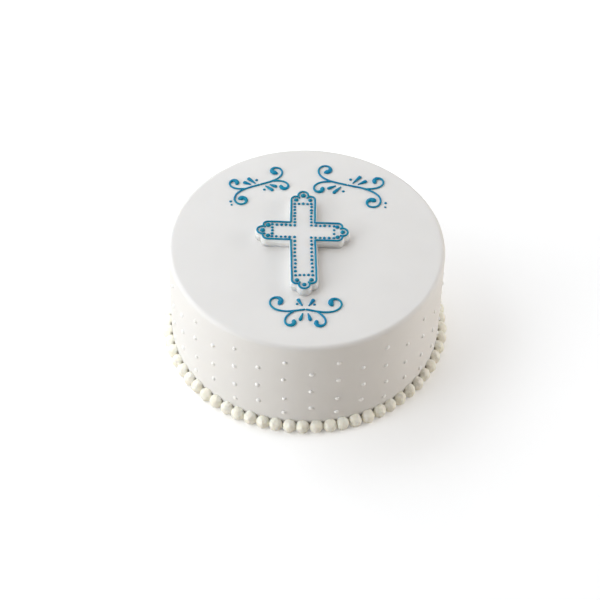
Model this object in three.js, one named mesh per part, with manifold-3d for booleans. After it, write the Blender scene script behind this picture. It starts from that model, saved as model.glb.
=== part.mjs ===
// Round communion cake under white fondant: rows of small dots on its wall, a border of piped pearls
// round its foot, a raised cross with lobed ends on its top, and piped scroll ornament round the cross.
// Millimetres, +Z up, front towards -Y, origin at the middle of the base.

import * as THREE from "three";
import { mergeVertices } from "three/addons/utils/BufferGeometryUtils.js";
import Module from "manifold-3d";

const wasm = await Module();
wasm.setup();

// Cake body with its rounded top edge
const CAKE_RADIUS = 102.6;
const CAKE_HEIGHT = 90.1;
const TOP_EDGE_RADIUS = 3.6;
const CAKE_SIDES = 72;
const EDGE_STEPS = 3;

// Dots on the wall, in columns of four and of three by turns, which stand wider apart and lower on the right
const DOT_RADIUS = 1.85;
const DOT_SUNK = 0.35;
const DOT_COLUMN_PAIRS = 17;
const FIRST_COLUMN_AZIMUTH = -7.8;
const COLUMN_DRIFT = 1.3;
const COLUMN_SPREAD = 1.6;
const FOUR_DOT_HEIGHTS = [72.8, 53.3, 33.5, 17.2];
const THREE_DOT_HEIGHTS = [62, 42.4, 24.6];
const DOT_STRAY = 0.7;
const ROW_DROP = 1.6;
const DOT_SIDES = 5;
const DOT_RINGS = 4;

// Pearl border
const PEARL_COUNT = 66;
const PEARL_RADIUS = 5.4;
const PEARL_RING_RADIUS = 104.5;
const PEARL_AZIMUTH = 0.3;
const PEARL_SIDES = 8;
const PEARL_PROFILE = [
  [0, 0],
  [0.62, 0],
  [1, 0.76],
  [0.84, 1.52],
  [0, 1.92],
];

// Cross, with the piped line as its outline and the plaque's edge a little outside it
const GAP = 0.3;
const CROSS_CENTRE = [-3.3, 6.3];
const PLAQUE_THICKNESS = 6.3;
const PLAQUE_MARGIN = 1.4;
const ARM_HALF_WIDTH = 8.9;
const TIP_LOBE_RADIUS = 3.9;
const SIDE_LOBE_RADIUS = 3.6;
const LINE_WIDTH = 1.5;
const PIPING_HEIGHT = 0.9;
const PIPING_SUNK = 0.4;
const LOBE_DOT_RADIUS = 1.8;
const ROW_DOT_RADIUS = 1.1;
const ROW_INSET = 2.75;
const DOME_FLATNESS = 0.8;
const LARGE_DOME_SIDES = 6;
const SMALL_DOME_SIDES = 5;
const ARMS = [
  { heading: -0.1, reach: 33.4, lobeBack: 3.8, rowEnd: 23, rowDots: 5, endDots: 2 },
  { heading: 90.5, reach: 41.3, lobeBack: 4.8, rowEnd: 28.6, rowDots: 7, endDots: 3 },
  { heading: 179.6, reach: 33.7, lobeBack: 4.1, rowEnd: 22.6, rowDots: 5, endDots: 3 },
  { heading: 272.4, reach: 57.5, lobeBack: 4.6, rowEnd: 44.2, rowDots: 10, endDots: 3 },
];

// Scroll ornament: each arm starts straight and bends ever more tightly, up to so many degrees per
// millimetre, and widens into a round head. A drop has its width at each share of its length
const SCROLL_LINE = 1.5;
const HEAD_END = 0.6;
const HEAD_POINTS = 3;
const DROP_SHARES = [0, 0.62, 0.86, 1];
const DROP_WIDTHS = [0.8, 2.6, 2.9, 1.4];
const SCROLL_GROWTH = 1.9;
const BRANCH_GROWTH = 1.4;
const BACK_SCROLL = {
  arms: [
    { at: [0, 0], heading: 12, length: 54, bend: -22.5, growth: SCROLL_GROWTH, head: 4.1 },
    { at: [0, 0], heading: 192, length: 46, bend: -24.5, growth: SCROLL_GROWTH, head: 4.1 },
    { at: [12, 1.9], heading: 28, length: 30, bend: 27, growth: BRANCH_GROWTH, head: 3.4 },
    { at: [-11, -1.9], heading: 210, length: 28, bend: 28, growth: BRANCH_GROWTH, head: 3.4 },
  ],
  drops: [
    { at: [2.5, 3.2], heading: 76, length: 9.5 },
    { at: [6.4, 4], heading: 56, length: 7.5 },
    { at: [-3, -3.6], heading: 256, length: 9 },
    { at: [-6.7, -4.4], heading: 236, length: 7 },
  ],
  dots: [
    { at: [-0.5, 6.2], radius: 1.25 },
    { at: [0.2, -6.8], radius: 1.15 },
    { at: [31.6, -3.4], radius: 1.15 },
    { at: [33, -7.2], radius: 0.95 },
  ],
};
const FRONT_HALF_SCROLL = {
  arms: [
    { at: [0, 0], heading: -12, length: 49, bend: 21.5, growth: SCROLL_GROWTH, head: 4.1 },
    { at: [8.5, -1.6], heading: -42, length: 27, bend: -27, growth: BRANCH_GROWTH, head: 3.4 },
  ],
  drops: [
    { at: [2.4, 3.6], heading: 60, length: 8 },
    { at: [1.9, -3.8], heading: -74, length: 8 },
  ],
  dots: [{ at: [6.6, 5.4], radius: 1.05 }],
};
const BACK_RIGHT = { at: [29.6, 62.9], turn: -26, size: 1.08, flip: 1 };
const BACK_LEFT = { at: [-36.8, 61], turn: 35, size: 0.9, flip: -1 };
const FRONT = { at: [0.3, -65.4], turn: 0, size: 0.95, flip: 1 };

// Fineness of curved lines, in degrees and millimetres
const ARC_STEP = 32;
const CURL_TURN = 34;
const CURL_RUN = 7;
const CURL_WALK = 0.25;

const FONDANT = new THREE.MeshStandardMaterial({ color: 0xecebe9, roughness: 0.55, metalness: 0 });
const CREAM = new THREE.MeshStandardMaterial({ color: 0xf3eedf, roughness: 0.5, metalness: 0 });
const SUGAR_PASTE = new THREE.MeshStandardMaterial({ color: 0xf1f0ee, roughness: 0.6, metalness: 0 });

const radians = THREE.MathUtils.degToRad;

// A closed geometry as a solid that can be joined.
function solidOf(geometry) {
  const bare = geometry.clone();
  bare.deleteAttribute("normal");
  bare.deleteAttribute("uv");
  const merged = mergeVertices(bare, 1e-4);
  const mesh = new wasm.Mesh({
    numProp: 3,
    vertProperties: merged.attributes.position.array,
    triVerts: new Uint32Array(merged.index.array),
  });
  return new wasm.Manifold(mesh);
}

// Several closed geometries joined into one.
function join(geometries) {
  const joined = geometries.map(solidOf).reduce((whole, next) => whole.add(next));
  const { vertProperties, triVerts } = joined.getMesh();
  return new THREE.BufferGeometry()
    .setAttribute("position", new THREE.BufferAttribute(vertProperties, 3))
    .setIndex(new THREE.BufferAttribute(triVerts, 1));
}

// A turned body whose axis is Z.
function turned(profile, sides) {
  const points = profile.map(([radius, height]) => new THREE.Vector2(radius, height));
  return new THREE.LatheGeometry(points, sides).rotateX(Math.PI / 2);
}

// An even spread from -1 to 1 that is the same for the same number each time.
function stray(number) {
  const spread = Math.sin(number * 127.1 + 311.7) * 43758.5453;
  return 2 * (spread - Math.floor(spread)) - 1;
}

// A dome of icing on a level surface.
function dome(x, y, surface, radius, sides) {
  return new THREE.SphereGeometry(radius, sides, DOT_RINGS)
    .rotateX(Math.PI / 2)
    .scale(1, 1, DOME_FLATNESS)
    .translate(x, y, surface - DOT_SUNK);
}

// A piped line on a level surface: the widths are those at its points.
function pipedLine(points, widths, surface) {
  const left = [];
  const right = [];
  points.forEach((point, i) => {
    const before = point.clone().sub(points[Math.max(i - 1, 0)]);
    const after = points[Math.min(i + 1, points.length - 1)].clone().sub(point);
    const a = (i ? before : after).normalize();
    const b = (i < points.length - 1 ? after : before).normalize();
    const offset = new THREE.Vector2(-a.y - b.y, a.x + b.x);
    offset.multiplyScalar(widths[i] / 2 / (1 + a.dot(b)));
    left.push(point.clone().add(offset));
    right.unshift(point.clone().sub(offset));
  });
  const outline = new THREE.Shape([...left, ...right]);
  const depth = PIPING_HEIGHT + PIPING_SUNK;
  return new THREE.ExtrudeGeometry(outline, { depth, bevelEnabled: false })
    .translate(0, 0, surface - PIPING_SUNK);
}

// The points of a line that starts straight and curls up, kept where it has turned or run far enough.
function curlPoints({ heading, length, bend, growth }) {
  const here = new THREE.Vector2(0, 0);
  const points = [here.clone()];
  let direction = heading;
  let bent = 0;
  let run = 0;
  for (let walked = 0; walked < length; walked += CURL_WALK) {
    const turn = bend * ((walked + CURL_WALK / 2) / length) ** growth * CURL_WALK;
    const middle = radians(direction + turn / 2);
    here.x += Math.cos(middle) * CURL_WALK;
    here.y += Math.sin(middle) * CURL_WALK;
    direction += turn;
    bent += Math.abs(turn);
    run += CURL_WALK;
    if (bent >= CURL_TURN || run >= CURL_RUN) {
      points.push(here.clone());
      bent = 0;
      run = 0;
    }
  }
  points.push(here.clone());
  return points;
}

// One scroll: its curling arms with round heads, its drops and its dots.
function scroll(design, place, surface, mirrored = 1) {
  const across = place.flip * mirrored;
  const onCake = (point) =>
    new THREE.Vector2(point.x * across, point.y)
      .multiplyScalar(place.size)
      .rotateAround(new THREE.Vector2(0, 0), radians(place.turn))
      .add(new THREE.Vector2(...place.at));
  const line = (points, widths) => pipedLine(points.map(onCake), widths, surface);
  const arms = design.arms.map((arm) => {
    const start = new THREE.Vector2(...arm.at);
    const points = curlPoints(arm).map((point) => point.add(start));
    const last = points.length - 1;
    const neck = last - HEAD_POINTS;
    const widths = points.map((_, i) => (i < neck ? SCROLL_LINE : arm.head));
    widths[neck] = (SCROLL_LINE + arm.head) / 2;
    widths[last] = arm.head * HEAD_END;
    return line(points, widths);
  });
  const drops = design.drops.map(({ at, heading, length }) => {
    const along = new THREE.Vector2(Math.cos(radians(heading)), Math.sin(radians(heading)));
    const point = (share) => new THREE.Vector2(...at).addScaledVector(along, length * share);
    return line(DROP_SHARES.map(point), DROP_WIDTHS);
  });
  const dots = design.dots.map(({ at, radius }) => {
    const { x, y } = onCake(new THREE.Vector2(...at));
    return dome(x, y, surface, radius, LARGE_DOME_SIDES);
  });
  return [...arms, ...drops, ...dots];
}

// Cake body with its rounded top edge, the dots on its wall and the scrolls on its top.
function cakeBody() {
  const profile = [
    [0, 0],
    [CAKE_RADIUS, 0],
  ];
  for (let i = 0; i <= EDGE_STEPS; i++) {
    const angle = (Math.PI / 2) * (i / EDGE_STEPS);
    const radius = CAKE_RADIUS - TOP_EDGE_RADIUS * (1 - Math.cos(angle));
    profile.push([radius, CAKE_HEIGHT - TOP_EDGE_RADIUS * (1 - Math.sin(angle))]);
  }
  profile.push([0, CAKE_HEIGHT]);
  const dots = [];
  for (let column = 0; column < 2 * DOT_COLUMN_PAIRS; column++) {
    const heights = column % 2 ? THREE_DOT_HEIGHTS : FOUR_DOT_HEIGHTS;
    heights.forEach((height, row) => {
      const number = column * 4 + row;
      const round = radians((column * 180) / DOT_COLUMN_PAIRS);
      const drift = COLUMN_DRIFT * Math.sin(round) + COLUMN_SPREAD * (1 - Math.cos(round));
      const sideways = (stray(number) * DOT_STRAY) / CAKE_RADIUS;
      const azimuth = round + radians(FIRST_COLUMN_AZIMUTH + drift) + sideways;
      const dot = new THREE.SphereGeometry(DOT_RADIUS, DOT_SIDES, DOT_RINGS)
        .translate(0, DOT_SUNK - CAKE_RADIUS, 0)
        .rotateZ(azimuth)
        .translate(0, 0, height - ROW_DROP * Math.sin(azimuth) + stray(number + 0.5) * DOT_STRAY);
      dots.push(dot);
    });
  }
  return join([
    turned(profile, CAKE_SIDES),
    ...dots,
    ...scroll(BACK_SCROLL, BACK_RIGHT, CAKE_HEIGHT),
    ...scroll(BACK_SCROLL, BACK_LEFT, CAKE_HEIGHT),
    ...scroll(FRONT_HALF_SCROLL, FRONT, CAKE_HEIGHT),
    ...scroll(FRONT_HALF_SCROLL, FRONT, CAKE_HEIGHT, -1),
  ]);
}

// Ring of pearls that are pressed together, flattened against the wall, and sit flat on their base.
function pearlBorder() {
  const profile = PEARL_PROFILE.map(([radius, height]) => [radius * PEARL_RADIUS, height * PEARL_RADIUS]);
  const toWall = PEARL_RING_RADIUS - CAKE_RADIUS - GAP;
  const pearls = [];
  for (let i = 0; i < PEARL_COUNT; i++) {
    const azimuth = radians(PEARL_AZIMUTH + (i * 360) / PEARL_COUNT);
    const pearl = turned(profile, PEARL_SIDES);
    const { position } = pearl.attributes;
    for (let k = 0; k < position.count; k++) {
      position.setY(k, Math.min(position.getY(k), toWall));
    }
    pearls.push(pearl.translate(0, -PEARL_RING_RADIUS, 0).rotateZ(azimuth));
  }
  return join(pearls);
}

// The lobed end of an arm, in the arm's own frame: X runs out along it. The margin widens every lobe.
function lobes(arm, margin) {
  const tip = new THREE.Vector2(arm.reach - TIP_LOBE_RADIUS, 0);
  const side = new THREE.Vector2(tip.x - arm.lobeBack, ARM_HALF_WIDTH - SIDE_LOBE_RADIUS);
  const tipRadius = TIP_LOBE_RADIUS + margin;
  const sideRadius = SIDE_LOBE_RADIUS + margin;
  const apart = tip.distanceTo(side);
  const along = (tipRadius ** 2 - sideRadius ** 2 + apart ** 2) / (2 * apart);
  const off = Math.sqrt(tipRadius ** 2 - along ** 2);
  const toSide = side.clone().sub(tip).normalize();
  const notch = tip.clone().addScaledVector(toSide, along);
  notch.add(new THREE.Vector2(toSide.y, -toSide.x).multiplyScalar(off));
  const tipAngle = Math.atan2(notch.y - tip.y, notch.x - tip.x);
  const sideAngle = Math.atan2(notch.y - side.y, notch.x - side.x);
  return { tip, side, tipRadius, sideRadius, tipAngle, sideAngle };
}

// Points on an arc, in even steps and with both ends.
function arc(centre, radius, from, to) {
  const steps = Math.ceil(Math.abs(to - from) / radians(ARC_STEP));
  return Array.from({ length: steps + 1 }, (_, i) => {
    const angle = from + ((to - from) * i) / steps;
    return new THREE.Vector2(Math.cos(angle), Math.sin(angle)).multiplyScalar(radius).add(centre);
  });
}

// Turns points of an arm's own frame into the cross's frame.
function onArm(arm, points, across = 1) {
  const origin = new THREE.Vector2(0, 0);
  const heading = radians(arm.heading);
  return points.map(({ x, y }) => new THREE.Vector2(x, y * across).rotateAround(origin, heading));
}

// Where the left side of one arm meets the right side of the next.
function innerCorner(arm, next, halfWidth) {
  const a = radians(arm.heading);
  const b = radians(next.heading);
  const along = (halfWidth * (1 + Math.cos(b - a))) / Math.sin(b - a);
  return onArm(arm, [new THREE.Vector2(along, halfWidth)])[0];
}

const nextArm = (i) => ARMS[(i + 1) % ARMS.length];

// Plaque of the cross, cut a little outside the piped outline.
function plaque() {
  const outline = ARMS.flatMap((arm, i) => {
    const { tip, side, tipRadius, sideRadius, tipAngle, sideAngle } = lobes(arm, PLAQUE_MARGIN);
    const outer = arc(side, sideRadius, Math.PI / 2, sideAngle).slice(0, -1);
    return [
      ...onArm(arm, outer, -1),
      ...onArm(arm, arc(tip, tipRadius, -tipAngle, tipAngle)),
      ...onArm(arm, outer.reverse()),
      innerCorner(arm, nextArm(i), ARM_HALF_WIDTH + PLAQUE_MARGIN),
    ];
  });
  const shape = new THREE.Shape(outline);
  return new THREE.ExtrudeGeometry(shape, { depth: PLAQUE_THICKNESS, bevelEnabled: false });
}

// Piped outline: four lines from lobe to lobe round the inner corners, and one round each tip.
function outlinePiping() {
  return ARMS.flatMap((arm, i) => {
    const next = nextArm(i);
    const here = lobes(arm, 0);
    const there = lobes(next, 0);
    const corner = [
      ...onArm(arm, arc(here.side, here.sideRadius, here.sideAngle, Math.PI / 2)),
      innerCorner(arm, next, ARM_HALF_WIDTH),
      ...onArm(next, arc(there.side, there.sideRadius, Math.PI / 2, there.sideAngle), -1),
    ];
    const tip = onArm(arm, arc(here.tip, here.tipRadius, here.tipAngle, -here.tipAngle));
    return [corner, tip].map((points) => pipedLine(points, points.map(() => LINE_WIDTH), PLAQUE_THICKNESS));
  });
}

// Dots of the cross: one in each lobe, and a row of small ones that follows the outline inside it.
function crossDots() {
  const row = ARM_HALF_WIDTH - ROW_INSET;
  return ARMS.flatMap((arm, i) => {
    const { tip, side } = lobes(arm, 0);
    const big = [...onArm(arm, [tip, side]), ...onArm(arm, [side], -1)];
    const run = Array.from({ length: arm.rowDots }, (_, n) => {
      const share = (n + 1) / arm.rowDots;
      return new THREE.Vector2(row + (arm.rowEnd - row) * share, row);
    });
    const end = Array.from({ length: arm.endDots }, (_, n) => {
      const share = (n + 1) / (arm.endDots + 1);
      return new THREE.Vector2(arm.rowEnd, row - 2 * row * share);
    });
    const corner = innerCorner(arm, nextArm(i), row);
    const small = [...onArm(arm, [...run, ...end]), ...onArm(arm, run, -1), corner];
    return [
      ...big.map(({ x, y }) => dome(x, y, PLAQUE_THICKNESS, LOBE_DOT_RADIUS, LARGE_DOME_SIDES)),
      ...small.map(({ x, y }) => dome(x, y, PLAQUE_THICKNESS, ROW_DOT_RADIUS, SMALL_DOME_SIDES)),
    ];
  });
}

function namedMesh(name, geometry, material) {
  const mesh = new THREE.Mesh(geometry, material);
  mesh.name = name;
  return mesh;
}

const communionCake = new THREE.Group();
communionCake.add(namedMesh("cake", cakeBody(), FONDANT));
communionCake.add(namedMesh("pearl_border", pearlBorder(), CREAM));

const cross = new THREE.Group();
cross.position.set(...CROSS_CENTRE, CAKE_HEIGHT + GAP);
cross.add(namedMesh("cross", join([plaque(), ...outlinePiping(), ...crossDots()]), SUGAR_PASTE));
communionCake.add(cross);

export default communionCake;
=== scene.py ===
# A round communion cake under white fondant. Small dots of icing stand on its wall, piped cream pearls ring
# its foot, and its top carries a raised cross and scrolls, both piped in blue.
# Metres, +Z up, front towards -Y.

import bisect
import math
import random
from collections import namedtuple

import bmesh
import bpy
from mathutils import Matrix, Vector, noise


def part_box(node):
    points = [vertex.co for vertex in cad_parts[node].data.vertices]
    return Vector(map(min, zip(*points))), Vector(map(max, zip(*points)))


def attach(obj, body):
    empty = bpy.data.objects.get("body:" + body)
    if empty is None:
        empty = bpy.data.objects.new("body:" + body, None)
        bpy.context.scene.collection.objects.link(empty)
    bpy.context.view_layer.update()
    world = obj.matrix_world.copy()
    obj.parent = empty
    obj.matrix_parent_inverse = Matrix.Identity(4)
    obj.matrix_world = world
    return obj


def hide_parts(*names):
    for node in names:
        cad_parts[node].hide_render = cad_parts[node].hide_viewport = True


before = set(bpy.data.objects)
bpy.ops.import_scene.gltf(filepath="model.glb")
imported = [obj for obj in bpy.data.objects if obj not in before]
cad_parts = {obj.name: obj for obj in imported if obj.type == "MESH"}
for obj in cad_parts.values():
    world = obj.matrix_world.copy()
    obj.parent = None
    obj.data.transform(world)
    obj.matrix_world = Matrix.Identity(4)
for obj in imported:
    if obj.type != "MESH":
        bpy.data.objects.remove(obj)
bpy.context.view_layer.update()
collection = bpy.context.scene.collection

# Camera
# The view looks down on the front of the cake, from a metre and a half away, through a long lens. It is held
# a little askew, and the cake is small in the middle of a wide clear ground.
VIEW_DISTANCE = 1.4512
VIEW_ELEVATION = math.radians(48.582)
LOOK_DOWN = math.radians(47.839)
LOOK_LEFT = math.radians(0.246)
ROLL = math.radians(1.324)
LENS_MM = 112.32

camera = bpy.data.objects.new("camera", bpy.data.cameras.new("camera"))
collection.objects.link(camera)
bpy.context.scene.camera = camera
camera.data.lens = LENS_MM
view_back = math.cos(VIEW_ELEVATION) * VIEW_DISTANCE
view_height = math.sin(VIEW_ELEVATION) * VIEW_DISTANCE
camera.matrix_world = (
    Matrix.Translation((0, -view_back, view_height))
    @ Matrix.Rotation(LOOK_LEFT, 4, "Z")
    @ Matrix.Rotation(math.pi / 2 - LOOK_DOWN, 4, "X")
    @ Matrix.Rotation(ROLL, 4, "Z")
)

# Floor and lights
# The cake stands on plain white paper in a white tent. Two wide soft lights stand high, on its left and at
# its back left. Two smaller ones stand low, at its front left and on its right.
PAPER = (0.965, 0.978, 0.99)
PAPER_RADIUS = 2.4
# The paper's glow near the cake and far from it, and the distances between which it grows
PAPER_GLOW = (0.2, 1.0)
PAPER_FADE = (0.28, 1.2)
TENT = (0.98, 0.98, 0.98)
TENT_RADIUS = 3.0
TENT_FINENESS = 4
TENT_GLOW = 1.0
TABLE = (0.79, 0.745, 0.68)
TABLE_RADIUS = 4.2
TABLE_DEPTH = 0.0002
SHEET_SEGMENTS = 96
STUDIO_ROUGHNESS = 0.9
STUDIO_SHINE = 0.1
LIGHTS = {
    # name: side of the square, azimuth from the front towards +X, elevation, distance, power, colour
    "low_left_light": (0.9, -60, 13, 1.6, 8.8, (0.94, 0.97, 1.0)),
    "high_left_light": (1.5, -80, 38, 1.5, 13.3, (0.945, 0.975, 1.0)),
    "back_light": (1.5, -150, 40, 1.4, 11.8, (0.915, 0.955, 1.0)),
    "right_light": (0.9, 97, 14, 1.6, 12.9, (1.0, 0.97, 0.94)),
}
LIGHT_TARGET = Vector((0, 0, 0.05))
ROOM_COLOUR = (1.0, 0.92, 0.85)
ROOM_STRENGTH = 0.237


def new_finish(name):
    """A material with its shader, its node tree and the coordinates of the piece that wears it."""
    material = bpy.data.materials.new(name)
    material.use_nodes = True
    tree = material.node_tree
    shader = tree.nodes["Principled BSDF"]
    place = tree.nodes.new("ShaderNodeTexCoord").outputs["Object"]
    return material, shader, tree, place


def finish_piece(name, shape, material):
    """Turns a finished bmesh into a smooth object at the origin, its faces pointing out."""
    bmesh.ops.recalc_face_normals(shape, faces=shape.faces)
    for face in shape.faces:
        face.smooth = True
    mesh = bpy.data.meshes.new(name)
    shape.to_mesh(mesh)
    shape.free()
    mesh.materials.append(material)
    piece = bpy.data.objects.new(name, mesh)
    collection.objects.link(piece)
    return piece


def mapped(tree, value, source, target, interpolation="LINEAR"):
    """A value taken from one range to another, and held inside it."""
    ranges = tree.nodes.new("ShaderNodeMapRange")
    ranges.interpolation_type = interpolation
    ranges.inputs["From Min"].default_value, ranges.inputs["From Max"].default_value = source
    ranges.inputs["To Min"].default_value, ranges.inputs["To Max"].default_value = target
    tree.links.new(value, ranges.inputs["Value"])
    return ranges.outputs["Result"]


def studio_finish(name, colour, glow):
    """A dull finish of one colour, which may glow."""
    material, shader, tree, place = new_finish(name)
    shader.inputs["Base Color"].default_value = (*colour, 1)
    shader.inputs["Roughness"].default_value = STUDIO_ROUGHNESS
    shader.inputs["Specular IOR Level"].default_value = STUDIO_SHINE
    shader.inputs["Emission Color"].default_value = (1, 1, 1, 1)
    shader.inputs["Emission Strength"].default_value = glow
    return material, shader, tree, place


def paper_finish():
    """White paper that glows more and more away from the cake, and so runs into the tent without an edge."""
    material, shader, tree, place = studio_finish("white_paper", PAPER, PAPER_GLOW[0])
    distance = tree.nodes.new("ShaderNodeVectorMath")
    distance.operation = "LENGTH"
    tree.links.new(place, distance.inputs[0])
    glow = mapped(tree, distance.outputs["Value"], PAPER_FADE, PAPER_GLOW, interpolation="SMOOTHSTEP")
    tree.links.new(glow, shader.inputs["Emission Strength"])
    return material


def sheet(name, radius, height, material):
    """A round level sheet under the cake."""
    disc = bmesh.new()
    bmesh.ops.create_circle(disc, cap_ends=True, segments=SHEET_SEGMENTS, radius=radius)
    bmesh.ops.translate(disc, verts=disc.verts, vec=(0, 0, height))
    return finish_piece(name, disc, material)


# The white paper and the tent are what the camera sees. The light that the cake gets back from below is that
# of the duller table under them.
paper = sheet("white_paper", PAPER_RADIUS, 0, paper_finish())
tent_shape = bmesh.new()
bmesh.ops.create_icosphere(tent_shape, subdivisions=TENT_FINENESS, radius=TENT_RADIUS)
tent = finish_piece("white_tent", tent_shape, studio_finish("white_tent", TENT, TENT_GLOW)[0])
for backing in (paper, tent):
    backing.visible_diffuse = False
    backing.visible_glossy = False
    backing.visible_transmission = False
    backing.visible_shadow = False
table = sheet("table", TABLE_RADIUS, -TABLE_DEPTH, studio_finish("table", TABLE, glow=0)[0])
table.visible_camera = False

for name, (size, azimuth, elevation, distance, power, colour) in LIGHTS.items():
    lamp = bpy.data.lights.new(name, "AREA")
    lamp.shape = "SQUARE"
    lamp.size = size
    lamp.energy = power
    lamp.color = colour
    light = bpy.data.objects.new(name, lamp)
    collection.objects.link(light)
    turn = Matrix.Rotation(math.radians(azimuth), 4, "Z")
    turn @= Matrix.Rotation(math.radians(90 - elevation), 4, "X")
    light.matrix_world = Matrix.Translation(LIGHT_TARGET) @ turn @ Matrix.Translation((0, 0, distance))

room = bpy.data.worlds.new("room")
bpy.context.scene.world = room
room.use_nodes = True
room_light = room.node_tree.nodes["Background"]
room_light.inputs["Color"].default_value = (*ROOM_COLOUR, 1)
room_light.inputs["Strength"].default_value = ROOM_STRENGTH
bpy.context.scene.view_settings.view_transform = "Standard"

# Cake
# A tall round sponge under one sheet of white sugar fondant. The fondant is smoothed down by hand, so its top
# edge is softly rounded and its wall is a little uneven. It is trimmed off level at the foot.
PASTE_GAP = 0.0003
CAKE_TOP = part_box("cross")[0].z - PASTE_GAP
CAKE_RADIUS = 0.1026
TOP_EDGE = 0.0036
TOP_EDGE_SEGMENTS = 9
FOOT_EDGE = 0.0012
FOOT_EDGE_SEGMENTS = 3
CAKE_SEGMENTS = 192
WALL_CUTS = 11
TOP_RINGS = 9
RING_STEP = 0.0095
FIRST_RING = 0.0015
SAME_HEIGHT = 1e-6
UNEVENNESS = 0.00008
UNEVEN_SPAN = 0.045
FONDANT = (0.822, 0.814, 0.798)
FONDANT_SHADE = (0.808, 0.799, 0.782)
# The stretch of the noise that runs from one tone to the other, and from the smoothest to the roughest
TONE_SPREAD = (0.35, 0.65)
GLOSS_SPREAD = (0.3, 0.7)


def noise_at(tree, place, span, detail=2.0):
    """A soft noise, from 0 to 1, whose patches are about one span across."""
    texture = tree.nodes.new("ShaderNodeTexNoise")
    texture.inputs["Scale"].default_value = 1 / span
    texture.inputs["Detail"].default_value = detail
    tree.links.new(place, texture.inputs["Vector"])
    return texture.outputs["Fac"]


def two_tones(tree, shader, patches, tone, shade):
    """Colours the shader in soft patches of two close tones, and gives the colour back."""
    mix = tree.nodes.new("ShaderNodeMix")
    mix.data_type = "RGBA"
    mix.inputs["A"].default_value = (*tone, 1)
    mix.inputs["B"].default_value = (*shade, 1)
    tree.links.new(mapped(tree, patches, TONE_SPREAD, (0, 1)), mix.inputs["Factor"])
    tree.links.new(mix.outputs["Result"], shader.inputs["Base Color"])
    return mix.outputs["Result"]


def uneven_gloss(tree, shader, patches, smoothest, roughest):
    """Lets the roughness wander between two values."""
    roughness = mapped(tree, patches, GLOSS_SPREAD, (smoothest, roughest))
    tree.links.new(roughness, shader.inputs["Roughness"])


def relief(tree, shader, heights, depth, under=None):
    """Raises the surface by the heights, over another relief where there is one."""
    bump = tree.nodes.new("ShaderNodeBump")
    bump.inputs["Distance"].default_value = depth
    tree.links.new(heights, bump.inputs["Height"])
    if under:
        tree.links.new(under.outputs["Normal"], bump.inputs["Normal"])
    tree.links.new(bump.outputs["Normal"], shader.inputs["Normal"])
    return bump


def take_light(shader, shine, sinks_in, tint, reach):
    """Sets how strongly a surface shines, and how much light sinks in, with what tint and how far."""
    shader.inputs["Specular IOR Level"].default_value = shine
    shader.inputs["Subsurface Weight"].default_value = sinks_in
    shader.inputs["Subsurface Radius"].default_value = tint
    shader.inputs["Subsurface Scale"].default_value = reach


def fondant_finish():
    """Satin white sugar fondant, polished by the smoother, with the faintest pits and sweeps."""
    material, shader, tree, place = new_finish("fondant")
    two_tones(tree, shader, noise_at(tree, place, span=0.03), FONDANT, FONDANT_SHADE)
    uneven_gloss(tree, shader, noise_at(tree, place, span=0.012), smoothest=0.42, roughest=0.52)
    sweeps = relief(tree, shader, noise_at(tree, place, span=0.009, detail=1.0), depth=0.00003)
    relief(tree, shader, noise_at(tree, place, span=0.0007), depth=0.00001, under=sweeps)
    take_light(shader, shine=0.4, sinks_in=0.15, tint=(1.0, 0.9, 0.75), reach=0.003)
    return material


def extruded(shape, face):
    """Extrudes a face and its edges in place, and gives its new vertices and its new face."""
    grown = bmesh.ops.extrude_face_region(shape, geom=[face, *face.edges])["geom"]
    vertices = [item for item in grown if isinstance(item, bmesh.types.BMVert)]
    faces = [item for item in grown if isinstance(item, bmesh.types.BMFace)]
    return vertices, faces[0]


def rim_at(shape, height):
    """The edges that lie level at one height."""
    return [edge for edge in shape.edges if all(abs(v.co.z - height) < SAME_HEIGHT for v in edge.verts)]


def round_off(shape, edges, offset, segments):
    """Rounds edges off in a few even steps."""
    bmesh.ops.bevel(
        shape, geom=edges, offset=offset, segments=segments, profile=0.5, affect="EDGES", material=-1
    )


def highest_face(shape):
    return max(shape.faces, key=lambda face: face.calc_center_median().z)


def cake_shape():
    cake = bmesh.new()
    bmesh.ops.create_circle(cake, cap_ends=True, segments=CAKE_SEGMENTS, radius=CAKE_RADIUS)
    top_rim, _ = extruded(cake, highest_face(cake))
    bmesh.ops.translate(cake, verts=top_rim, vec=(0, 0, CAKE_TOP))
    upright = [edge for edge in cake.edges if abs(edge.verts[0].co.z - edge.verts[1].co.z) > SAME_HEIGHT]
    bmesh.ops.subdivide_edges(cake, edges=upright, cuts=WALL_CUTS, use_grid_fill=True)
    round_off(cake, rim_at(cake, CAKE_TOP), TOP_EDGE, TOP_EDGE_SEGMENTS)
    round_off(cake, rim_at(cake, 0), FOOT_EDGE, FOOT_EDGE_SEGMENTS)
    top = highest_face(cake)
    for ring in range(TOP_RINGS):
        step = RING_STEP if ring else FIRST_RING
        bmesh.ops.inset_region(cake, faces=[top], thickness=step, use_even_offset=True)
    bmesh.ops.poke(cake, faces=[top])
    cake.normal_update()
    for vertex in cake.verts:
        if vertex.co.z > FOOT_EDGE:
            height = noise.noise(vertex.co / UNEVEN_SPAN) * UNEVENNESS
            vertex.co += vertex.normal * height
    return cake


cake = finish_piece("fondant_cake", cake_shape(), fondant_finish())
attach(cake, "root")
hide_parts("cake")

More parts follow.
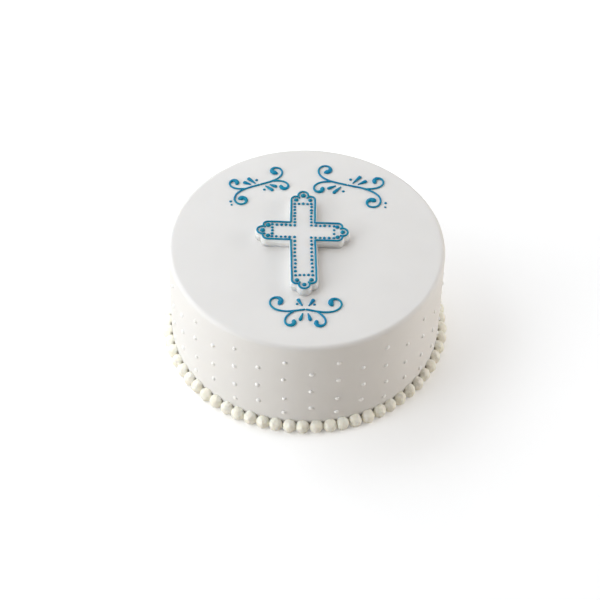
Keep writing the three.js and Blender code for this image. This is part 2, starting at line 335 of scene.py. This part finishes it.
# Dots on the wall
# Small domes of stiff white royal icing, pressed from a fine round nozzle on to the finished wall, by eye, in
# columns of four and of three by turns. They have settled to smooth rounds with barely a trace of a tip.
DOT_RADIUS = 0.00185
DOT_UNEVENNESS = 0.1
DOT_HEIGHT = 0.0012
DOT_SUNK = 0.0002
DOT_TIP = 0.0001
DOT_SIDES = 12
DOT_RINGS = 6
COLUMN_PAIRS = 17
FIRST_COLUMN = -7.8
COLUMN_DRIFT = 1.3
COLUMN_SPREAD = 1.6
FOUR_DOT_HEIGHTS = (0.0728, 0.0533, 0.0335, 0.0172)
THREE_DOT_HEIGHTS = (0.0620, 0.0424, 0.0246)
DOT_STRAY = 0.0007
ROW_DROP = 0.0016
STRAY_STEP = 127.1
STRAY_START = 311.7
STRAY_STRETCH = 43758.5453
ROYAL_WHITE = (0.98, 0.972, 0.96)
ROYAL_SHADE = (0.96, 0.95, 0.935)


def stray(number):
    """An even spread from -1 to 1 that is the same for the same number each time."""
    spread = math.sin(number * STRAY_STEP + STRAY_START) * STRAY_STRETCH
    return 2 * (spread - math.floor(spread)) - 1


def gather(shape, part):
    """Adds a finished part to a larger shape."""
    finished = bpy.data.meshes.new("part")
    part.to_mesh(finished)
    part.free()
    shape.from_mesh(finished)
    bpy.data.meshes.remove(finished)


def dot(shape, turn, radius, height, sunk, tip):
    """A dome of icing along the Z of its turn, closed below the surface and drawn up into a soft tip."""
    size = Matrix.Diagonal((radius, radius, height + sunk, 1))
    place = turn @ Matrix.Translation((0, 0, -sunk)) @ size
    dome = bmesh.new()
    bmesh.ops.create_uvsphere(dome, u_segments=DOT_SIDES, v_segments=DOT_RINGS, radius=1, matrix=place)
    outward = turn.col[2].xyz
    peak = max(dome.verts, key=lambda vertex: vertex.co.dot(outward))
    peak.co += outward * tip
    gather(shape, dome)


def royal_white_finish():
    """White royal icing, dried to a fine eggshell gloss."""
    material, shader, tree, place = new_finish("white_royal_icing")
    two_tones(tree, shader, noise_at(tree, place, span=0.004), ROYAL_WHITE, ROYAL_SHADE)
    uneven_gloss(tree, shader, noise_at(tree, place, span=0.002), smoothest=0.32, roughest=0.45)
    relief(tree, shader, noise_at(tree, place, span=0.0008), depth=0.00002)
    take_light(shader, shine=0.5, sinks_in=0.4, tint=(1.0, 0.95, 0.85), reach=0.0015)
    return material


dots = bmesh.new()
for column in range(2 * COLUMN_PAIRS):
    heights = THREE_DOT_HEIGHTS if column % 2 else FOUR_DOT_HEIGHTS
    round_cake = math.radians(column * 180 / COLUMN_PAIRS)
    drift = COLUMN_DRIFT * math.sin(round_cake) + COLUMN_SPREAD * (1 - math.cos(round_cake))
    drifted = round_cake + math.radians(FIRST_COLUMN + drift)
    for row, height in enumerate(heights):
        # The numbers between those of the dots give each dot a stray of its own in height and in size.
        number = column * len(FOUR_DOT_HEIGHTS) + row
        azimuth = drifted + stray(number) * DOT_STRAY / CAKE_RADIUS
        height += stray(number + 0.5) * DOT_STRAY - ROW_DROP * math.sin(azimuth)
        radius = DOT_RADIUS * (1 + DOT_UNEVENNESS * stray(number + 0.25))
        outward = Matrix.Rotation(azimuth, 4, "Z") @ Matrix.Translation((0, -CAKE_RADIUS, height))
        outward @= Matrix.Rotation(math.pi / 2, 4, "X")
        dot(dots, outward, radius, DOT_HEIGHT, DOT_SUNK, DOT_TIP)
wall_dots = finish_piece("wall_dots", dots, royal_white_finish())
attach(wall_dots, "root")
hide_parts("cake")

# Pearl border
# Beads of soft ivory buttercream, piped side by side round the foot of the cake. Each is pressed on to the
# wall and its neighbour, so its back spreads flat, and it keeps soft folds and a tip from the nozzle.
PEARL_COUNT = 66
PEARL_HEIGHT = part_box("pearl_border")[1].z
PEARL_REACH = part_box("pearl_border")[1].x
PEARL_RADIUS = 0.0054
FIRST_PEARL = 0.3
PEARL_FINENESS = 4
PEARL_FLAT = 0.88
PEARL_BACK = 1.3
PEARL_PRESSED_IN = 0.0002
# Each bead draws its own size as shares, and its place: out or in by metres, and round the ring by radians.
PEARL_WIDTHS = (0.94, 1.0)
PEARL_DEPTHS = (0.95, 1.01)
PEARL_TALLNESS = (0.93, 0.99)
PEARL_STRAY = (-0.0006, 0.0001)
PEARL_SWING = (-0.004, 0.004)
BORDER_SEED = 66
LUMP_HEIGHT = 0.045
LUMPS_ACROSS = 1.3
LUMP_FIELD = 50
FOLD_HEIGHT = 0.11
FOLD_SPAN = 0.5
FOLD_LEVEL = 0.3
FOLD_SWEEP = 0.6
TIP_HEIGHT = 0.11
TIP_WIDTH = 0.2
TIP_HEADINGS = (-40, 40)
TIP_RISES = (30, 65)
CRAG_HEIGHT = 0.055
CRAG_SPAN = 0.42
# Where the painted shade in the corners by the wall begins and is full: across the bead, and towards the wall
PAINTED_SHADE_SIDE = (0.55, 0.82)
PAINTED_SHADE_BACK = (-0.15, 0.35)
CREAM = (0.972, 0.95, 0.85)
CREAM_SHADE = (0.95, 0.91, 0.79)
# The near-black olive painted into those corners as shade
CORNER_PAINTED_SHADE = (0.09, 0.076, 0.032)


def eased(value, low, high):
    """A soft step from 0 at low to 1 at high."""
    share = min(max((value - low) / (high - low), 0.0), 1.0)
    return share * share * (3 - 2 * share)


def pearl(border, azimuth, dice):
    """One bead at its place on the ring, with its own size, lumps, folds, crags and tip. Its shade values
    tell how near each point is to the corner between the bead, its neighbour and the wall: there shade is
    painted."""
    bead = bmesh.new()
    painted_shades = bead.verts.layers.float.new("painted_shade")
    ball = bmesh.ops.create_icosphere(bead, subdivisions=PEARL_FINENESS, radius=1)["verts"]
    tip_heading = math.radians(-90 + dice.uniform(*TIP_HEADINGS))
    tip_rise = math.radians(dice.uniform(*TIP_RISES))
    tip_at = Vector((math.cos(tip_heading), math.sin(tip_heading), 0)) * math.cos(tip_rise)
    tip_at.z = math.sin(tip_rise)
    lumps_at = Vector([dice.uniform(0, LUMP_FIELD) for axis in "xyz"])
    width = PEARL_RADIUS * dice.uniform(*PEARL_WIDTHS)
    depth = PEARL_RADIUS * dice.uniform(*PEARL_DEPTHS)
    tall = PEARL_HEIGHT / (1 + PEARL_FLAT) * dice.uniform(*PEARL_TALLNESS)
    ring_radius = PEARL_REACH - PEARL_RADIUS + dice.uniform(*PEARL_STRAY)
    to_wall = ring_radius - CAKE_RADIUS + PEARL_PRESSED_IN
    for vertex in ball:
        out = vertex.co.normalized()
        lump = noise.noise(out * LUMPS_ACROSS + lumps_at) * LUMP_HEIGHT
        along_tip = out - tip_at * out.dot(tip_at) * FOLD_SWEEP
        fold = (FOLD_LEVEL - abs(noise.noise(along_tip / FOLD_SPAN - lumps_at))) * FOLD_HEIGHT
        tip = math.exp(-((out - tip_at).length / TIP_WIDTH) ** 2) * TIP_HEIGHT
        crag = noise.noise(out / CRAG_SPAN + lumps_at) * CRAG_HEIGHT
        swollen = out * (1 + lump + fold + tip + crag)
        # How deep the point lies in the corner between its neighbour and the wall: the strength of the
        # painted shade
        vertex[painted_shades] = eased(abs(swollen.x), *PAINTED_SHADE_SIDE) * eased(swollen.y, *PAINTED_SHADE_BACK)
        inward = swollen.y * (PEARL_BACK if swollen.y > 0 else 1)
        vertex.co.x = swollen.x * width
        vertex.co.y = min(inward * depth, to_wall)
        vertex.co.z = (max(swollen.z, -PEARL_FLAT) + PEARL_FLAT) * tall
    place = Matrix.Rotation(azimuth, 4, "Z") @ Matrix.Translation((0, -ring_radius, 0))
    bmesh.ops.transform(bead, matrix=place, verts=ball)
    gather(border, bead)


def cream_finish():
    """Ivory buttercream with a thin dry crust: soft, barely glossy and finely grained. Painted shade darkens
    it to a deep olive in the corners between the beads and the wall."""
    material, shader, tree, place = new_finish("buttercream")
    crust = two_tones(tree, shader, noise_at(tree, place, span=0.006, detail=3.0), CREAM, CREAM_SHADE)
    # Painted shade: the colour darkens towards the olive where the beads' corner values are high
    painted_shade = tree.nodes.new("ShaderNodeAttribute")
    painted_shade.attribute_name = "painted_shade"
    shaded_colour = tree.nodes.new("ShaderNodeMix")
    shaded_colour.data_type = "RGBA"
    shaded_colour.inputs["B"].default_value = (*CORNER_PAINTED_SHADE, 1)
    tree.links.new(crust, shaded_colour.inputs["A"])
    tree.links.new(painted_shade.outputs["Fac"], shaded_colour.inputs["Factor"])
    tree.links.new(shaded_colour.outputs["Result"], shader.inputs["Base Color"])
    uneven_gloss(tree, shader, noise_at(tree, place, span=0.003), smoothest=0.35, roughest=0.55)
    folds = relief(tree, shader, noise_at(tree, place, span=0.0022, detail=3.0), depth=0.00035)
    relief(tree, shader, noise_at(tree, place, span=0.0011, detail=3.0), depth=0.00024, under=folds)
    take_light(shader, shine=0.5, sinks_in=0.45, tint=(1.0, 0.9, 0.75), reach=0.002)
    return material


border = bmesh.new()
border_dice = random.Random(BORDER_SEED)
for number in range(PEARL_COUNT):
    even = math.radians(FIRST_PEARL + number * 360 / PEARL_COUNT)
    pearl(border, even + border_dice.uniform(*PEARL_SWING), border_dice)
pearls = finish_piece("pearls", border, cream_finish())
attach(pearls, "root")
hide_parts("pearl_border")

# Cross
# A plaque of white sugar paste, rolled about 6 mm thick, cut out with a cutter whose four arms end in three
# round lobes, and laid on the fondant. Its cut edge has slumped to a soft curve at the top.
CROSS_CENTRE = Vector((-0.0033, 0.0063))
PLAQUE_THICKNESS = 0.0063
PLAQUE_FOOT = CAKE_TOP - PASTE_GAP
PLAQUE_TOP = CAKE_TOP + PASTE_GAP + PLAQUE_THICKNESS
PLAQUE_MARGIN = 0.0014
PLAQUE_EDGE = 0.0011
PLAQUE_EDGE_SEGMENTS = 5
PLAQUE_NOTCH = 0.0012
PLAQUE_INSET = 0.001
ARM_HALF_WIDTH = 0.0089
TIP_LOBE = 0.0039
SIDE_LOBE = 0.0036
ARC_STEP = math.radians(9)
# An arm's heading is in degrees from +X, and its row of dots turns across it at row_end.
Arm = namedtuple("Arm", "heading reach lobe_back row_end row_dots end_dots")
ARMS = (
    Arm(heading=-0.1, reach=0.0334, lobe_back=0.0038, row_end=0.0230, row_dots=5, end_dots=2),
    Arm(heading=90.5, reach=0.0413, lobe_back=0.0048, row_end=0.0286, row_dots=7, end_dots=3),
    Arm(heading=179.6, reach=0.0337, lobe_back=0.0041, row_end=0.0226, row_dots=5, end_dots=3),
    Arm(heading=272.4, reach=0.0575, lobe_back=0.0046, row_end=0.0442, row_dots=10, end_dots=3),
)
NEIGHBOURS = tuple(zip(ARMS, ARMS[1:] + ARMS[:1]))
PASTE = (0.815, 0.81, 0.80)
PASTE_SHADE = (0.80, 0.792, 0.778)
Lobes = namedtuple("Lobes", "tip side tip_radius side_radius tip_angle side_angle")


def lobes(arm, margin):
    """The lobed end of an arm, in the arm's own frame: X runs out along it. The margin widens every lobe. The
    angles are those at which the tip lobe and a side lobe meet."""
    tip = Vector((arm.reach - TIP_LOBE, 0))
    side = Vector((tip.x - arm.lobe_back, ARM_HALF_WIDTH - SIDE_LOBE))
    tip_radius = TIP_LOBE + margin
    side_radius = SIDE_LOBE + margin
    apart = (side - tip).length
    along = (tip_radius**2 - side_radius**2 + apart**2) / (2 * apart)
    off = math.sqrt(tip_radius**2 - along**2)
    to_side = (side - tip) / apart
    notch = tip + to_side * along + Vector((to_side.y, -to_side.x)) * off
    tip_angle = math.atan2(notch.y - tip.y, notch.x - tip.x)
    side_angle = math.atan2(notch.y - side.y, notch.x - side.x)
    return Lobes(tip, side, tip_radius, side_radius, tip_angle, side_angle)


def arc(centre, radius, start, end):
    """Points on an arc, in even steps and with both ends."""
    steps = math.ceil(abs(end - start) / ARC_STEP)
    angles = [start + (end - start) * step / steps for step in range(steps + 1)]
    return [centre + radius * Vector((math.cos(angle), math.sin(angle))) for angle in angles]


def on_arm(arm, points, across=1):
    """Turns points of an arm's own frame into places on the cake. Across is -1 for its right side."""
    turn = Matrix.Rotation(math.radians(arm.heading), 2)
    return [CROSS_CENTRE + turn @ Vector((point.x, point.y * across)) for point in points]


def inner_corner(arm, following, half_width):
    """Where the left side of one arm meets the right side of the next."""
    between = math.radians(following.heading - arm.heading)
    along = half_width * (1 + math.cos(between)) / math.sin(between)
    return on_arm(arm, [Vector((along, half_width))])[0]


def plaque_outline():
    """The outline of the plaque, with a small round notch between the lobes."""
    outline = []
    for arm, following in NEIGHBOURS:
        wide = lobes(arm, PLAQUE_MARGIN + PLAQUE_NOTCH)
        notch = wide.tip + wide.tip_radius * Vector((math.cos(wide.tip_angle), math.sin(wide.tip_angle)))
        outer = arc(wide.side, SIDE_LOBE + PLAQUE_MARGIN, math.pi / 2, wide.side_angle)
        outer += arc(notch, PLAQUE_NOTCH, wide.side_angle + math.pi, wide.tip_angle + math.pi)[1:-1]
        outline += on_arm(arm, outer, -1)
        outline += on_arm(arm, arc(wide.tip, TIP_LOBE + PLAQUE_MARGIN, -wide.tip_angle, wide.tip_angle))
        outline += on_arm(arm, outer[::-1])
        outline.append(inner_corner(arm, following, ARM_HALF_WIDTH + PLAQUE_MARGIN))
    return outline


def plaque_shape():
    plaque = bmesh.new()
    rim = [plaque.verts.new((*point, PLAQUE_FOOT)) for point in plaque_outline()]
    top_rim, _ = extruded(plaque, plaque.faces.new(rim))
    bmesh.ops.translate(plaque, verts=top_rim, vec=(0, 0, PLAQUE_TOP - PLAQUE_FOOT))
    round_off(plaque, rim_at(plaque, PLAQUE_TOP), PLAQUE_EDGE, PLAQUE_EDGE_SEGMENTS)
    top = highest_face(plaque)
    bmesh.ops.inset_region(plaque, faces=[top], thickness=PLAQUE_INSET, use_even_offset=True)
    return plaque


def paste_finish():
    """Matt white sugar paste, dusted with icing sugar and finely grained."""
    material, shader, tree, place = new_finish("sugar_paste")
    two_tones(tree, shader, noise_at(tree, place, span=0.008), PASTE, PASTE_SHADE)
    uneven_gloss(tree, shader, noise_at(tree, place, span=0.004), smoothest=0.5, roughest=0.62)
    sweeps = relief(tree, shader, noise_at(tree, place, span=0.006, detail=1.0), depth=0.00005)
    relief(tree, shader, noise_at(tree, place, span=0.0005), depth=0.00001, under=sweeps)
    take_light(shader, shine=0.3, sinks_in=0.8, tint=(1.0, 0.9, 0.78), reach=0.004)
    return material


cross = finish_piece("cross_plaque", plaque_shape(), paste_finish())
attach(cross, "root")
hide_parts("cross")

# Piping on the cross
# A thin line of teal-blue icing, pressed by hand from a fine nozzle along the edge of the plaque, a round
# drop in each of its lobes, and a row of small dots that follows the line inside it.
LINE_WIDTH = 0.0015
LINE_SIDES = 12
LINE_STEP = 0.0006
AHEAD_STEP = LINE_STEP / 4
LINE_WOBBLE = 0.00014
WOBBLE_SPAN = 0.006
LINE_SWELL = 0.09
SWELL_SPAN = 0.004
LINE_RISE = 0.62 * LINE_WIDTH
WIDTH_RISE = 0.3
LINE_LIFT = 0.3
# Where the rings of a round end lie, as shares of its radius, and the least share of the width there
END_SHARES = (0.0, 0.1, 0.3, 0.6, 1.0)
END_ROUND = 0.18
TIP_OVERRUN = math.radians(26)
LOBE_DOT = 0.00185
ROW_DOT = 0.0012
ROW_INSET = 0.00275
BLUE_DOT_SIZES = (0.9, 1.1)
BLUE_DOT_STRAY = 0.0002
BLUE_DOT_HEIGHT = 0.8
BLUE_DOT_SUNK = 0.1
BLUE_DOT_TIP = 0.15
PIPING_SEED = 12
BLUE = (0.0, 0.215, 0.41)
TEAL = (0.0, 0.255, 0.385)


def blue_icing_finish():
    """Glossy piping icing, dyed blue, a little greener in soft patches where the dye is uneven."""
    material, shader, tree, place = new_finish("blue_icing")
    two_tones(tree, shader, noise_at(tree, place, span=0.012), BLUE, TEAL)
    uneven_gloss(tree, shader, noise_at(tree, place, span=0.002), smoothest=0.3, roughest=0.42)
    relief(tree, shader, noise_at(tree, place, span=0.0009), depth=0.00004)
    take_light(shader, shine=0.22, sinks_in=0.1, tint=(0.2, 0.6, 1.0), reach=0.0004)
    return material


def pressed_line(shape, path, surface, width_at):
    """Draws a bead of icing along a path on a level surface. width_at gives its width from the distance
    walked and the whole length. The bead wavers and swells a little, and both of its ends are round."""
    walked = [0.0]
    for here, there in zip(path, path[1:]):
        walked.append(walked[-1] + (there - here).length)
    length = walked[-1]

    def point_at(distance):
        index = min(max(bisect.bisect(walked, distance), 1), len(path) - 1)
        share = (distance - walked[index - 1]) / (walked[index] - walked[index - 1])
        return path[index - 1].lerp(path[index], share)

    start_radius = width_at(0, length) / 2
    end_radius = width_at(length, length) / 2
    middle = length - start_radius - end_radius
    steps = max(2, round(middle / LINE_STEP))
    stations = [share * start_radius for share in END_SHARES]
    stations += [start_radius + middle * step / steps for step in range(1, steps)]
    stations += [length - share * end_radius for share in reversed(END_SHARES)]
    line = bmesh.new()
    before = None
    for distance in stations:
        from_end = min(distance / start_radius, (length - distance) / end_radius, 1.0)
        roundness = max(END_ROUND, math.sqrt(1 - (1 - from_end) ** 2))
        point = point_at(distance)
        ahead = (point_at(distance + AHEAD_STEP) - point_at(distance - AHEAD_STEP)).normalized()
        side = Vector((-ahead.y, ahead.x))
        waver = noise.noise(Vector((point.x, point.y, surface)) / WOBBLE_SPAN) * LINE_WOBBLE
        swell = 1 + LINE_SWELL * noise.noise(Vector((point.x, point.y, 1 + surface)) / SWELL_SPAN)
        width = width_at(distance, length) * roundness * swell
        height = LINE_RISE * roundness * swell + WIDTH_RISE * width
        place = point + side * waver
        here = Matrix(
            (
                (side.x * width, 0, ahead.x, place.x),
                (side.y * width, 0, ahead.y, place.y),
                (0, height, 0, surface + LINE_LIFT * height),
                (0, 0, 0, 1),
            )
        )
        if before is None:
            disc = bmesh.ops.create_circle(line, cap_ends=True, segments=LINE_SIDES, radius=0.5, matrix=here)
            end = disc["verts"][0].link_faces[0]
        else:
            rim, end = extruded(line, end)
            bmesh.ops.transform(line, matrix=here @ before.inverted(), verts=rim)
        before = here
    gather(shape, line)


def even_width(distance, length):
    """The width of a line that is even all along."""
    return LINE_WIDTH


def blue_dot(shape, place, radius):
    """A drop of icing on a level surface. Its height, its foot and its tip keep to its radius."""
    dot(shape, place, radius, radius * BLUE_DOT_HEIGHT, radius * BLUE_DOT_SUNK, radius * BLUE_DOT_TIP)


def cross_piping_shape():
    piping = bmesh.new()
    dice = random.Random(PIPING_SEED)
    row = ARM_HALF_WIDTH - ROW_INSET
    for arm, following in NEIGHBOURS:
        near, far = lobes(arm, 0), lobes(following, 0)
        corner = on_arm(arm, arc(near.side, near.side_radius, near.side_angle, math.pi / 2))
        corner.append(inner_corner(arm, following, ARM_HALF_WIDTH))
        corner += on_arm(following, arc(far.side, far.side_radius, math.pi / 2, far.side_angle), -1)
        overrun = near.tip_angle + TIP_OVERRUN
        round_tip = on_arm(arm, arc(near.tip, near.tip_radius, overrun, -overrun))
        pressed_line(piping, corner, PLAQUE_TOP, even_width)
        pressed_line(piping, round_tip, PLAQUE_TOP, even_width)

        run = [
            Vector((row + (arm.row_end - row) * (step + 1) / arm.row_dots, row))
            for step in range(arm.row_dots)
        ]
        end = [
            Vector((arm.row_end, row - 2 * row * (step + 1) / (arm.end_dots + 1)))
            for step in range(arm.end_dots)
        ]
        small = on_arm(arm, run + end) + on_arm(arm, run, -1) + [inner_corner(arm, following, row)]
        large = on_arm(arm, [near.tip, near.side]) + on_arm(arm, [near.side], -1)
        for point in large + small:
            radius = (LOBE_DOT if point in large else ROW_DOT) * dice.uniform(*BLUE_DOT_SIZES)
            stray_x = dice.uniform(-1, 1) * BLUE_DOT_STRAY
            stray_y = dice.uniform(-1, 1) * BLUE_DOT_STRAY
            place = Matrix.Translation((point.x, point.y, PLAQUE_TOP))
            blue_dot(piping, place @ Matrix.Translation((stray_x, stray_y, 0)), radius)
    return piping


blue_icing = blue_icing_finish()
cross_piping = finish_piece("cross_piping", cross_piping_shape(), blue_icing)
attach(cross_piping, "root")
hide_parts("cross")

# Scrolls
# Free ornament in the same blue icing on the fondant, two scrolls behind the cross and one before it. Each
# arm is pressed out from the middle, curls up ever more tightly and swells into a round head.
SCROLL_LINE = 0.0015
SCROLL_GROWTH = 1.9
BRANCH_GROWTH = 1.4
HEAD_RUN = 0.013
CURL_WALK = 0.00025
MM_IN_METRE = 1000
ARM_HEAD = 0.0044
BRANCH_HEAD = 0.0037
# Widths of a drop, each at a share of its length
DROP_WIDTHS = ((0.0, 0.0008), (0.62, 0.0026), (0.86, 0.0029), (1.0, 0.0026))
# Arms: start, heading, length, bend at the end in degrees a millimetre, growth of the bend, width of the
# head. Drops: start, heading, length. Dots: centre, radius.
BACK_SCROLL = {
    "arms": (
        ((0, 0), 12, 0.054, -22.5, SCROLL_GROWTH, ARM_HEAD),
        ((0, 0), 192, 0.046, -24.5, SCROLL_GROWTH, ARM_HEAD),
        ((0.012, 0.0019), 28, 0.030, 27, BRANCH_GROWTH, BRANCH_HEAD),
        ((-0.011, -0.0019), 210, 0.028, 28, BRANCH_GROWTH, BRANCH_HEAD),
    ),
    "drops": (
        ((0.0025, 0.0032), 76, 0.0095),
        ((0.0064, 0.0040), 56, 0.0075),
        ((-0.0030, -0.0036), 256, 0.0090),
        ((-0.0067, -0.0044), 236, 0.0070),
    ),
    "dots": (
        ((-0.0005, 0.0062), 0.00125),
        ((0.0002, -0.0068), 0.00115),
        ((0.0316, -0.0034), 0.00115),
        ((0.0330, -0.0072), 0.00095),
    ),
}
FRONT_HALF_SCROLL = {
    "arms": (
        ((0, 0), -12, 0.049, 21.5, SCROLL_GROWTH, ARM_HEAD),
        ((0.0085, -0.0016), -42, 0.027, -27, BRANCH_GROWTH, BRANCH_HEAD),
    ),
    "drops": (
        ((0.0024, 0.0036), 60, 0.008),
        ((0.0019, -0.0038), -74, 0.008),
    ),
    "dots": (((0.0066, 0.0054), 0.00105),),
}


def curl(start, heading, length, bend, growth):
    """The path of an arm: it starts straight and bends ever more tightly."""
    here = Vector(start)
    path = [here.copy()]
    direction = math.radians(heading)
    for step in range(round(length / CURL_WALK)):
        share = (step + 0.5) * CURL_WALK / length
        turn = math.radians(bend * share**growth * CURL_WALK * MM_IN_METRE)
        direction += turn / 2
        here = here + CURL_WALK * Vector((math.cos(direction), math.sin(direction)))
        direction += turn / 2
        path.append(here)
    return path


def headed_width(head):
    """The width of a line that swells into a head along its last stretch."""

    def width_at(distance, length):
        return SCROLL_LINE + (head - SCROLL_LINE) * eased(distance, length - HEAD_RUN, length)

    return width_at


def drop_width(distance, length):
    """The width of a drop, which is thin where it starts and broad where it ends."""
    share = min(max(distance / length, 0.0), 1.0)
    for (low, low_width), (high, high_width) in zip(DROP_WIDTHS, DROP_WIDTHS[1:]):
        if share <= high:
            return low_width + (high_width - low_width) * (share - low) / (high - low)
    return DROP_WIDTHS[-1][1]


def scroll(shape, design, at, turn, size, flip):
    """Pipes one scroll at its place on the top of the cake. Flip is -1 for its mirror image."""
    turning = Matrix.Rotation(math.radians(turn), 2)

    def on_cake(points):
        return [Vector(at) + turning @ (Vector((point[0] * flip, point[1])) * size) for point in points]

    for start, heading, length, bend, growth, head in design["arms"]:
        path = on_cake(curl(start, heading, length, bend, growth))
        pressed_line(shape, path, CAKE_TOP, headed_width(head))
    for start, heading, length in design["drops"]:
        along = Vector((math.cos(math.radians(heading)), math.sin(math.radians(heading))))
        path = on_cake([Vector(start), Vector(start) + along * length])
        pressed_line(shape, path, CAKE_TOP, drop_width)
    for centre, radius in design["dots"]:
        blue_dot(shape, Matrix.Translation((*on_cake([centre])[0], CAKE_TOP)), radius)


scrolls = bmesh.new()
scroll(scrolls, BACK_SCROLL, at=(0.0296, 0.0629), turn=-26, size=1.08, flip=1)
scroll(scrolls, BACK_SCROLL, at=(-0.0368, 0.0610), turn=35, size=0.9, flip=-1)
for flip in (1, -1):
    scroll(scrolls, FRONT_HALF_SCROLL, at=(0.0003, -0.0654), turn=0, size=0.95, flip=flip)
scroll_piping = finish_piece("scroll_piping", scrolls, blue_icing)
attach(scroll_piping, "root")
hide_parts("cake")
